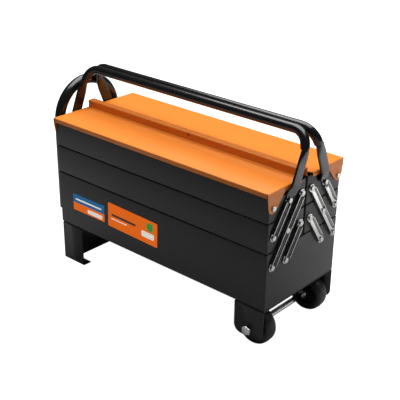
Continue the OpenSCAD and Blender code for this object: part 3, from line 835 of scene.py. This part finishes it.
def ringHeights(bendLow):
    # where the leg has a ring of points, from the bend down to the tongue's tip
    shape = handleShape
    legHigh = bendLow - shape["taper"]
    legLow, toeHigh, toeLow, tongueHigh = (shape[k] for k in ("legLow", "toeHigh", "toeLow", "tongueHigh"))
    half = shape["tongue"][0]
    roundStart = half - shape["tongueDown"]
    heights = [bendLow - 0.8] + [bendLow - shape["taper"] * i / 10 for i in range(1, 11)]
    heights += [(legHigh + legLow) / 2, legLow]
    heights += [legLow + (toeHigh - legLow) * i / 5 for i in range(1, 6)]
    heights += [toeHigh - shape["toeCorner"], toeLow + 2, toeLow + 1, toeLow]
    heights += [(toeLow + tongueHigh) / 2, tongueHigh]
    heights += [tongueHigh * i / 4 for i in (3, 2, 1, 0)] + [roundStart]
    return heights + [roundStart - half * t for t in (0.35, 0.6, 0.8, 0.93, 0.99)]


def makeHandle(side):
    node = side + "_handle"
    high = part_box(node)[1]
    radius = handleShape["tube"] * mm / 2
    corner = handleShape["corner"] * mm
    pivot = pivots["front_handle_turn"]
    rivet = Vector((0, pivot.y, pivot.z))
    linkUp = Vector((0, linkStep.y, linkStep.z)).normalized()
    barPoint = Vector((0, -handleShape["barGap"] * mm, high.z - radius))
    legUp = (barPoint - rivet).normalized()
    bendLow = ((barPoint - rivet).length - corner) / mm
    barEnd = high.x - radius - corner
    bm = bmesh.new()
    bmesh.ops.create_circle(bm, cap_ends=False, radius=radius, segments=handleShape["around"])
    bmesh.ops.rotate(bm, cent=(0, 0, 0), matrix=Matrix.Rotation(math.radians(90), 3, "Y"), verts=bm.verts)
    bmesh.ops.translate(bm, vec=(midX, barPoint.y, barPoint.z), verts=bm.verts)
    ring = ringMoved(bm, list(bm.edges), (barEnd - midX, 0, 0))
    centre = Vector((barEnd, 0, 0)) + barPoint - legUp * corner
    ring = ringTurned(bm, ring, centre, xAxis.cross(-legUp), math.pi / 2, handleShape["bendSteps"])
    across = Vector((0, legUp.z, -legUp.y))
    verts = vertsOf(ring)
    middle = sum((vert.co for vert in verts), Vector()) / len(verts)
    angles = {}
    for vert in verts:
        offset = vert.co - middle
        angles[spotOf(vert)] = math.atan2(offset.x, offset.dot(across))
    for up in ringHeights(bendLow):
        ring, angles = pressRing(bm, ring, angles, rivet, legUp, linkUp, up, bendLow)
    bmesh.ops.contextual_create(bm, geom=ring)
    # the inside of the bend is pressed in with the leg
    for vert in bm.verts:
        above = (vert.co - rivet).dot(legUp) / mm - bendLow
        if -1 < above < handleShape["bendReach"]:
            inside = handleShape["bendRoom"] + handleShape["bendSlope"] * max(above, 0.0)
            vert.co.x = max(vert.co.x, midX + webEnd - inside * mm)
    bmesh.ops.mirror(bm, geom=allOf(bm), matrix=Matrix.Translation((-midX, 0, 0)), axis="X",
                     merge_dist=0.01 * mm)
    bmesh.ops.remove_doubles(bm, verts=bm.verts, dist=tiny)
    if side == "rear":
        flipAcross(bm, 1, 0)
    finishPiece(bm, side + "_handle_tube", side + "_grip", "glossBlack", [node, node + "_legs"],
                smoothAngle=50)


for side in ("front", "rear"):
    makeHandle(side)
print("handles made")


# pull handle

pullShape = {
    "tube": 20.0,
    "arch": 69.5,         # radius of the tube's middle over the top
    "around": 32,
    "archSteps": 36,
    "saddle": 14.0,       # width and height of each saddle
    "saddleGrip": 5.0,    # how far a saddle reaches round the tube
    "saddleEdge": 0.8,
}


def makePullHandle():
    low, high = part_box("pull_handle")
    radius = pullShape["tube"] * mm / 2
    arch = pullShape["arch"] * mm
    archZ = high.z - radius - arch
    tubeX = (low.x + high.x) / 2
    bm = bmesh.new()
    bmesh.ops.create_circle(bm, cap_ends=False, radius=radius, segments=pullShape["around"])
    bmesh.ops.translate(bm, vec=(tubeX, arch, low.z), verts=bm.verts)
    foot = list(bm.edges)
    ring = ringMoved(bm, foot, (0, 0, archZ - low.z))
    ring = ringTurned(bm, ring, (tubeX, 0, archZ), xAxis, math.pi, pullShape["archSteps"])
    ring = ringMoved(bm, ring, (0, 0, low.z - archZ))
    for end in (ring, foot):
        bmesh.ops.contextual_create(bm, geom=end)
    finishPiece(bm, "pull_handle_tube", "base", "glossBlack", ["pull_handle"], smoothAngle=50)


def makeSaddles():
    low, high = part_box("pull_handle_spacers")
    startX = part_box("pull_handle")[1].x - pullShape["saddleGrip"] * mm
    size = pullShape["saddle"] * mm
    bm = bmesh.new()
    for z in (low.z, high.z - size):
        for y in (low.y, high.y - size):
            addBlock(bm, (startX, y, z), (high.x, y + size, z + size))
    bevelEdges(bm, list(bm.edges), pullShape["saddleEdge"] * mm, 2)
    finishPiece(bm, "pull_handle_saddles", "base", "blackPaint", ["pull_handle_spacers"])


makePullHandle()
makeSaddles()
print("pull handle made")


# foot stand and wheel bracket

plateShape = {
    "sheet": 2.0,
    "bend": 3.0,
    "foot": 19.0,         # the stand's feet turn in this far
    "earCorner": 15.0,    # round corners of the wheel bracket's ears
    "webBottom": 26.0,    # lower edge of the web, from the ground
    "webEdge": 0.4,
}


def makePlate(name, node, points, corner=0.0):
    # one bent plate along the box, open below, from its line seen from the end
    low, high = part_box(node)
    bm = bmesh.new()
    verts = openStrip(bm, [(0, y, z) for y, z in points])
    roundCorners(bm, verts[1:-1], plateShape["bend"] * mm, 4)
    sweepAlongX(bm, low.x, high.x)
    if corner:
        roundCorners(bm, [v for v in bm.verts if v.co.z < low.z + tiny], corner * mm, 8)
    faceUp(bm)
    piece = finishPiece(bm, name, "base", "blackPaint", [node], recalc=False)
    addThickness(piece, plateShape["sheet"] * mm)


def makeStand():
    low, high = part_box("foot_stand")
    foot = plateShape["foot"] * mm
    sheet = plateShape["sheet"] * mm
    makePlate("stand_plate", "foot_stand", [
        (low.y + foot, low.z), (low.y, low.z), (low.y, high.z),
        (high.y, high.z), (high.y, low.z), (high.y - foot, low.z),
    ])
    # cross web that ties the legs
    bm = bmesh.new()
    addBlock(bm, (high.x - sheet, low.y + sheet, plateShape["webBottom"] * mm),
             (high.x, high.y - sheet, high.z - sheet))
    bevelEdges(bm, list(bm.edges), plateShape["webEdge"] * mm, 2)
    finishPiece(bm, "stand_web", "base", "blackPaint")


def makeBracket():
    low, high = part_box("wheel_bracket")
    makePlate("bracket_plate", "wheel_bracket", [
        (low.y, low.z), (low.y, high.z), (high.y, high.z), (high.y, low.z),
    ], plateShape["earCorner"])


makeStand()
makeBracket()
print("stand and bracket made")


# wheels and axle

wheelShape = {
    "tyreInner": 24.5,
    "tyreChamfer": 1.5,   # at the tyre's inner edges
    "shoulder": 6.5,
    "crown": 1.0,         # the tread's middle stands this much proud
    "rimDepth": 3.0,      # thickness of the hub's rim
    "rimStep": 1.0,       # the rim stops this far inside the tyre's sides
    "hubWeb": 3.0,        # half the thickness of the disc
    "hubBoss": 9.6,
    "bossFlare": 0.8,
    "bore": 5.1,
    "hubRounds": {1: 0.8, 2: 1.0, 3: 1.5, 4: 0.6, 7: 0.6, 8: 1.5, 9: 1.0, 10: 0.8},  # by corner
    "steps": 72,
}


def turnedPiece(profile, bends, centre, name, side, finish, node):
    # profile of (radius, distance along Y), closed, spun about the wheel's axis
    bm = bmesh.new()
    verts = openStrip(bm, [(centre.x + radius * mm, centre.y + along * mm, centre.z)
                           for radius, along in profile])
    bm.edges.new((verts[-1], verts[0]))
    for index, radius in bends.items():
        roundCorners(bm, [verts[index]], radius * mm, 5)
    bmesh.ops.spin(bm, geom=list(bm.verts) + list(bm.edges), cent=centre, axis=(0, 1, 0), dvec=(0, 0, 0),
                   angle=2 * math.pi, steps=wheelShape["steps"], use_merge=True, use_duplicate=False)
    bmesh.ops.remove_doubles(bm, verts=bm.verts, dist=tiny)
    finishPiece(bm, name, side + "_wheel", finish, [node], smoothAngle=40)


def makeWheel(side):
    tyreLow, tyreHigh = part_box(side + "_tyre")
    centre = (tyreLow + tyreHigh) / 2
    outer = (tyreHigh.z - tyreLow.z) / 2 / mm
    half = (tyreHigh.y - tyreLow.y) / 2 / mm
    inner = wheelShape["tyreInner"]
    chamfer = wheelShape["tyreChamfer"]
    tread = outer - wheelShape["crown"]
    turnedPiece([(inner, -half + chamfer), (inner + chamfer, -half), (tread, -half), (outer, 0),
                 (tread, half), (inner + chamfer, half), (inner, half - chamfer)],
                {2: wheelShape["shoulder"], 4: wheelShape["shoulder"]},
                centre, side + "_tyre_ring", side, "blackRubber", side + "_tyre")
    boss = wheelShape["hubBoss"]
    bossFoot = boss + wheelShape["bossFlare"]
    bore = wheelShape["bore"]
    web = wheelShape["hubWeb"]
    rim = inner - wheelShape["rimDepth"]
    rimFoot = rim - wheelShape["rimStep"]
    rimEnd = half - wheelShape["rimStep"]
    turnedPiece([(bore, -half), (boss, -half), (bossFoot, -web), (rimFoot, -web),
                 (rim, -rimEnd), (inner, -rimEnd), (inner, rimEnd), (rim, rimEnd),
                 (rimFoot, web), (bossFoot, web), (boss, half), (bore, half)],
                wheelShape["hubRounds"],
                centre, side + "_hub_disc", side, "blackPlastic", side + "_hub")


axleShape = {
    "bar": 10.0,
    "head": 6.4,          # height of the hexagonal head
    "flats": 16.0,
    "crown": 5.6,         # radius of the round face on the head
    "crownSunk": 0.05,
    "barEdge": 0.8,
    "hexEdge": 0.9,
}


def addAlongY(bm, middle, radius, startY, endY, segments, edge=0.0):
    # a bar on the axle's line, with its far end chamfered
    rod = addRod(bm, radius, (middle.x, startY, middle.z), (middle.x, endY, middle.z), segments)
    if edge:
        bevelEdges(bm, ringEdgesNear(rod, (0, endY, 0), Vector((0, 1, 0))), edge * mm, 2)


def makeAxle():
    low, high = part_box("axle")
    nutLow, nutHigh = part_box("axle_nut")
    middle = (low + high) / 2
    hexRadius = axleShape["flats"] * mm / math.sqrt(3)
    crownEnd = low.y + axleShape["crownSunk"] * mm
    headEnd = low.y + axleShape["head"] * mm
    bm = bmesh.new()
    addAlongY(bm, middle, axleShape["bar"] * mm / 2, headEnd, high.y, 40, axleShape["barEdge"])
    addAlongY(bm, middle, hexRadius, headEnd, low.y, 6, axleShape["hexEdge"])
    addAlongY(bm, middle, axleShape["crown"] * mm, headEnd, crownEnd, 32)
    finishPiece(bm, "axle_bar", "base", "brightSteel", ["axle"])
    bm = bmesh.new()
    addAlongY(bm, middle, hexRadius, nutLow.y, nutHigh.y, 6, axleShape["hexEdge"])
    finishPiece(bm, "axle_hex_nut", "base", "brightSteel", ["axle_nut"])


for side in ("front", "rear"):
    makeWheel(side)
makeAxle()
print("wheels and axle made")


# plain labels on the base's front

labelShape = {
    "thick": 0.25,
    # from mid-length and from the ground; the tilt is in degrees
    "small": {"x": (-212, -126), "z": (117.5, 150.5), "split": 133.2, "corner": 1.0},
    "large": {"x": (-115.6, 10.0), "z": (113.5, 161.0), "corner": 2.5, "tilt": 1.5},
    # plain printed shapes: finish, x range, z range, corner
    "onSmall": {
        "small_label_bar": ("labelPale", (-205, -134), (139.5, 142.5), 1.0),
        "small_label_block": ("labelPale", (-172, -132), (120.5, 128.5), 1.5),
    },
    "onLarge": {
        "large_label_patch": ("labelPale", (-29, 2), (124.5, 136.0), 3.0),
        "large_label_leaf": ("labelGreen", (-15.5, -1), (139.5, 156.0), 4.0),
        "large_label_line": ("labelPale", (-107, -66), (130.0, 131.8), 0.8),
        "large_label_bar": ("labelDark", (-106, -44), (136.5, 141.0), 1.0),
    },
}
labelInk = {      # colour and roughness
    "labelOrange": ((1.0, 0.17, 0.008), 0.5),
    "labelBlue": ((0.02, 0.15, 0.36), 0.5),
    "labelPale": ((1.0, 0.94, 0.84), 0.5),
    "labelGreen": ((0.05, 0.34, 0.06), 0.5),
    "labelDark": ((0.06, 0.035, 0.025), 0.35),
}
labelPaper = {
    "tone": 0.05, "glossChange": 0.04, "peelSize": 300.0, "peelHeight": 0.03, "specular": 0.12,
    "paintedGlow": 0.4,          # painted light: the labels glow in their own colours
}


def paperMaterial(name, colour, roughness):
    material, tree, shader = newMaterial(name)
    paper = placeCoat(tree, shader, {**labelPaper, "colour": colour, "roughness": roughness})
    # painted light: each label sends out its own colour, though it is no lamp
    shader.inputs["Emission Strength"].default_value = labelPaper["paintedGlow"]
    tree.links.new(paper.outputs["Colour"], shader.inputs["Base Color"])
    tree.links.new(paper.outputs["Colour"], shader.inputs["Emission Color"])
    return material


for ink, (colour, roughness) in labelInk.items():
    materials[ink] = paperMaterial(ink, colour, roughness)


def makeLabel(name, finish, xRange, zRange, corner, tilt=0.0, layer=0, about=None):
    # layer 1 lies on a label, and is turned with it about the label's middle
    thick = labelShape["thick"] * mm
    face = baseLow.y - layer * thick
    lowX, highX = (midX + x * mm for x in xRange)
    lowZ, highZ = (z * mm for z in zRange)
    bm = bmesh.new()
    addBlock(bm, (lowX, face - thick, lowZ), (highX, face, highZ))
    bevelEdges(bm, [e for e in bm.edges if runsAlong(e, 1)], corner * mm, 5)
    if tilt:
        centre = about or ((lowX + highX) / 2, face, (lowZ + highZ) / 2)
        bmesh.ops.rotate(bm, cent=centre, matrix=Matrix.Rotation(math.radians(tilt), 3, "Y"),
                         verts=bm.verts)
    finishPiece(bm, name, "base", finish)


def makeLabels():
    small, large = labelShape["small"], labelShape["large"]
    low, high = small["z"]
    makeLabel("small_label_lower", "labelOrange", small["x"], (low, small["split"]), small["corner"])
    makeLabel("small_label_upper", "labelBlue", small["x"], (small["split"], high), small["corner"])
    makeLabel("large_label", "labelOrange", large["x"], large["z"], large["corner"], large["tilt"])
    for name, shape in labelShape["onSmall"].items():
        makeLabel(name, *shape, layer=1)
    middle = Vector((midX + sum(large["x"]) / 2 * mm, baseLow.y, sum(large["z"]) / 2 * mm))
    for name, shape in labelShape["onLarge"].items():
        makeLabel(name, *shape, large["tilt"], 1, middle)


makeLabels()
print("labels made")


# floor and light

studio = {
    "floorSize": 60.0,
    "floorColour": (0.40, 0.40, 0.40),
    "floorLift": 1.0,     # extra light that the pale floor sends straight to the lens
    "skyStrength": 0.08,
    # place, what it aims at, size, power in watts, spread in degrees
    "overhead": ((-0.15, 0.48, 2.3), (0, 0.05, 0.2), (2.4, 2.4), 103, 180),
    "floorPool": ((1.1, 0.8, 0.9), (1.1, 0.801, 0), (1.0, 1.0), 15, 90),
}


def addLamp(name):
    place, aim, size, power, spread = studio[name]
    data = bpy.data.lights.new(name, "AREA")
    data.shape = "RECTANGLE"
    data.size, data.size_y = size
    data.energy = power
    data.spread = math.radians(spread)
    lamp = bpy.data.objects.new(name, data)
    bpy.context.scene.collection.objects.link(lamp)
    lamp.location = place
    lamp.rotation_euler = (Vector(aim) - Vector(place)).to_track_quat("-Z", "Y").to_euler()


def makeFloor():
    bm = bmesh.new()
    bmesh.ops.create_grid(bm, x_segments=1, y_segments=1, size=studio["floorSize"] / 2)
    mesh = bpy.data.meshes.new("floor")
    bm.to_mesh(mesh)
    bm.free()
    floor = bpy.data.objects.new("floor", mesh)
    bpy.context.scene.collection.objects.link(floor)
    material, tree, shader = newMaterial("floorPaper")
    shader.inputs["Base Color"].default_value = (*studio["floorColour"], 1)
    shader.inputs["Roughness"].default_value = 0.9
    shader.inputs["Specular IOR Level"].default_value = 0.1
    shader.inputs["Emission Color"].default_value = (1, 1, 1, 1)
    path = tree.nodes.new("ShaderNodeLightPath")
    lift = addNode(tree.nodes, "ShaderNodeMath", {1: studio["floorLift"]}, "MULTIPLY")
    tree.links.new(path.outputs["Is Camera Ray"], lift.inputs[0])
    tree.links.new(lift.outputs[0], shader.inputs["Emission Strength"])
    mesh.materials.append(material)


def makeStudio():
    makeFloor()
    world = bpy.data.worlds.new("studio")
    world.use_nodes = True
    sky = world.node_tree.nodes["Background"]
    sky.inputs["Color"].default_value = (1, 1, 1, 1)
    sky.inputs["Strength"].default_value = studio["skyStrength"]
    bpy.context.scene.world = world
    addLamp("overhead")
    addLamp("floorPool")
    bpy.context.scene.view_settings.view_transform = "Standard"


makeStudio()
print("studio made")
